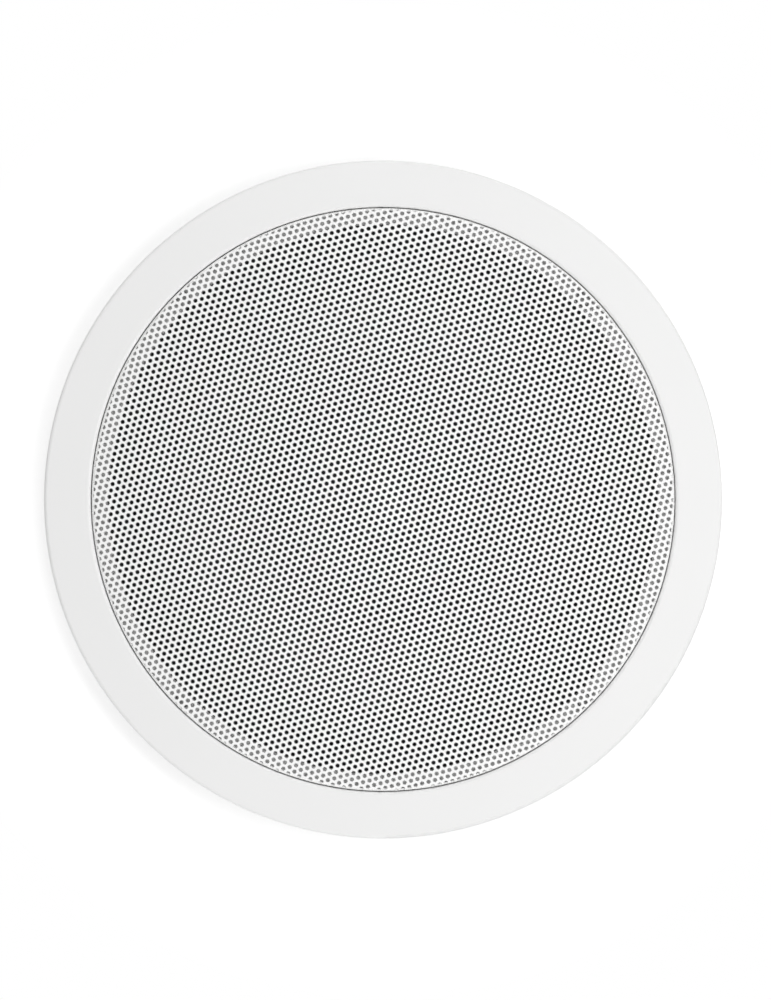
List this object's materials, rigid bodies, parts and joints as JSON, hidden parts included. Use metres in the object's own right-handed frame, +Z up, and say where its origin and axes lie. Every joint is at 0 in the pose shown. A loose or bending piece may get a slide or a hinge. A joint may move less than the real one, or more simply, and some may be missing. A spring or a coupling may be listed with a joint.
{
  "type": "in-ceiling speaker",
  "caption": "Round in-ceiling loudspeaker: white rim and perforated grille in front, woofer with a tweeter on its pole, crossover, spring terminals and swing-out ceiling clamps behind.",
  "frame": {"origin": "middle of the rim's back face, which lies on the ceiling's face", "axes": "+Z up into the ceiling, along the speaker's axis; the grille faces -Z; the terminals are on the -Y side"},
  "size_m": [0.268, 0.268, 0.0967],
  "materials": {
    "white_plastic": "satin moulded",
    "white_paint": "satin powder coat",
    "black_paint": "satin paint",
    "black_plastic": "satin moulded",
    "black_foam": "closed-cell foam",
    "black_rubber": "soft butyl",
    "cone_film": "moulded polypropylene",
    "former_film": "polyimide film",
    "copper_wire": "enamelled copper",
    "spider_cloth": "resin-treated cloth",
    "plated_steel": "zinc plated",
    "ferrite": "pressed ferrite",
    "dome_film": "polished film",
    "brass": "turned brass",
    "board_laminate": "glass-fibre laminate",
    "bobbin_plastic": "natural nylon",
    "capacitor_sleeve": "shrink sleeve",
    "cement": "cement",
    "red_plastic": "satin moulded",
    "phenolic": "phenolic paper"
  },
  "bodies": {
    "frame_body": {"frame": "white_plastic", "grille": "white_paint", "woofer_basket": "black_paint", "flange_seal": "black_foam", "flange_gasket": "black_foam", "woofer_screws": "black_paint", "tag_strip": "phenolic", "tag_lugs": "plated_steel", "tag_rivet": "plated_steel", "surround": "black_rubber", "spider": "spider_cloth", "front_plate": "plated_steel", "magnet": "ferrite", "back_plate_and_pole": "plated_steel", "tweeter_post": "black_plastic", "tweeter_housing": "black_plastic", "tweeter_faceplate": "black_plastic", "tweeter_dome": "dome_film", "tweeter_coil": "copper_wire", "tweeter_cup": "plated_steel", "tweeter_magnet": "plated_steel", "tweeter_pole_plate": "plated_steel", "crossover_board": "board_laminate", "board_screws": "plated_steel", "inductor_bobbin": "bobbin_plastic", "inductor_winding": "copper_wire", "capacitor": "capacitor_sleeve", "resistor": "cement", "terminal_block": "black_plastic", "terminal_contacts": "brass", "terminal_cover": "black_plastic", "terminal_spring_black": "plated_steel", "terminal_spring_red": "plated_steel"},
    "cone_body": {"cone": "cone_film", "coil_former": "former_film", "voice_coil": "copper_wire"},
    "lever_black_body": {"terminal_lever_black": "black_plastic"},
    "lever_red_body": {"terminal_lever_red": "red_plastic"},
    "screw_1_body": {"clamp_screw_1": "plated_steel", "clamp_retainer_1": "plated_steel"},
    "insert_1_body": {"clamp_insert_1": "brass"},
    "arm_1_body": {"clamp_arm_1": "black_plastic"},
    "screw_2_body": {"clamp_screw_2": "plated_steel", "clamp_retainer_2": "plated_steel"},
    "insert_2_body": {"clamp_insert_2": "brass"},
    "arm_2_body": {"clamp_arm_2": "black_plastic"},
    "screw_3_body": {"clamp_screw_3": "plated_steel", "clamp_retainer_3": "plated_steel"},
    "insert_3_body": {"clamp_insert_3": "brass"},
    "arm_3_body": {"clamp_arm_3": "black_plastic"},
    "screw_4_body": {"clamp_screw_4": "plated_steel", "clamp_retainer_4": "plated_steel"},
    "insert_4_body": {"clamp_insert_4": "brass"},
    "arm_4_body": {"clamp_arm_4": "black_plastic"}
  },
  "joints": [
    {"name": "cone_travel", "type": "slide", "parent": "frame_body", "child": "cone_body", "axis": [0, 0, 1], "range_m": [-0.004, 0.004], "stiffness_N_per_m": 1500, "deforming": ["surround", "spider"]},
    {"name": "lever_black_push", "type": "slide", "parent": "frame_body", "child": "lever_black_body", "axis": [0, 0, -1], "range_m": [0, 0.003], "stiffness_N_per_m": 800, "springref_m": -0.002, "deforming": ["terminal_spring_black"]},
    {"name": "lever_red_push", "type": "slide", "parent": "frame_body", "child": "lever_red_body", "axis": [0, 0, -1], "range_m": [0, 0.003], "stiffness_N_per_m": 800, "springref_m": -0.002, "deforming": ["terminal_spring_red"]},
    {"name": "screw_1_turn", "type": "hinge", "parent": "frame_body", "child": "screw_1_body", "pos_m": [0.07937, 0.07937, 0], "axis": [0, 0, -1], "range_deg": [0, 14915]},
    {"name": "insert_1_travel", "type": "slide", "parent": "frame_body", "child": "insert_1_body", "axis": [0, 0, 1], "range_m": [0, 0.029]},
    {"name": "arm_1_swing", "type": "hinge", "parent": "insert_1_body", "child": "arm_1_body", "pos_m": [0.07937, 0.07937, 0], "axis": [0, 0, -1], "range_deg": [0, 103]},
    {"name": "screw_2_turn", "type": "hinge", "parent": "frame_body", "child": "screw_2_body", "pos_m": [-0.07937, 0.07937, 0], "axis": [0, 0, -1], "range_deg": [0, 14915]},
    {"name": "insert_2_travel", "type": "slide", "parent": "frame_body", "child": "insert_2_body", "axis": [0, 0, 1], "range_m": [0, 0.029]},
    {"name": "arm_2_swing", "type": "hinge", "parent": "insert_2_body", "child": "arm_2_body", "pos_m": [-0.07937, 0.07937, 0], "axis": [0, 0, -1], "range_deg": [0, 103]},
    {"name": "screw_3_turn", "type": "hinge", "parent": "frame_body", "child": "screw_3_body", "pos_m": [-0.07937, -0.07937, 0], "axis": [0, 0, -1], "range_deg": [0, 14915]},
    {"name": "insert_3_travel", "type": "slide", "parent": "frame_body", "child": "insert_3_body", "axis": [0, 0, 1], "range_m": [0, 0.029]},
    {"name": "arm_3_swing", "type": "hinge", "parent": "insert_3_body", "child": "arm_3_body", "pos_m": [-0.07937, -0.07937, 0], "axis": [0, 0, -1], "range_deg": [0, 103]},
    {"name": "screw_4_turn", "type": "hinge", "parent": "frame_body", "child": "screw_4_body", "pos_m": [0.07937, -0.07937, 0], "axis": [0, 0, -1], "range_deg": [0, 14915]},
    {"name": "insert_4_travel", "type": "slide", "parent": "frame_body", "child": "insert_4_body", "axis": [0, 0, 1], "range_m": [0, 0.029]},
    {"name": "arm_4_swing", "type": "hinge", "parent": "insert_4_body", "child": "arm_4_body", "pos_m": [0.07937, -0.07937, 0], "axis": [0, 0, -1], "range_deg": [0, 103]}
  ],
  "couplings": [
    {"joint": "screw_1_turn", "follows": "insert_1_travel", "rad_per_m": 8976},
    {"joint": "screw_2_turn", "follows": "insert_2_travel", "rad_per_m": 8976},
    {"joint": "screw_3_turn", "follows": "insert_3_travel", "rad_per_m": 8976},
    {"joint": "screw_4_turn", "follows": "insert_4_travel", "rad_per_m": 8976}
  ]
}
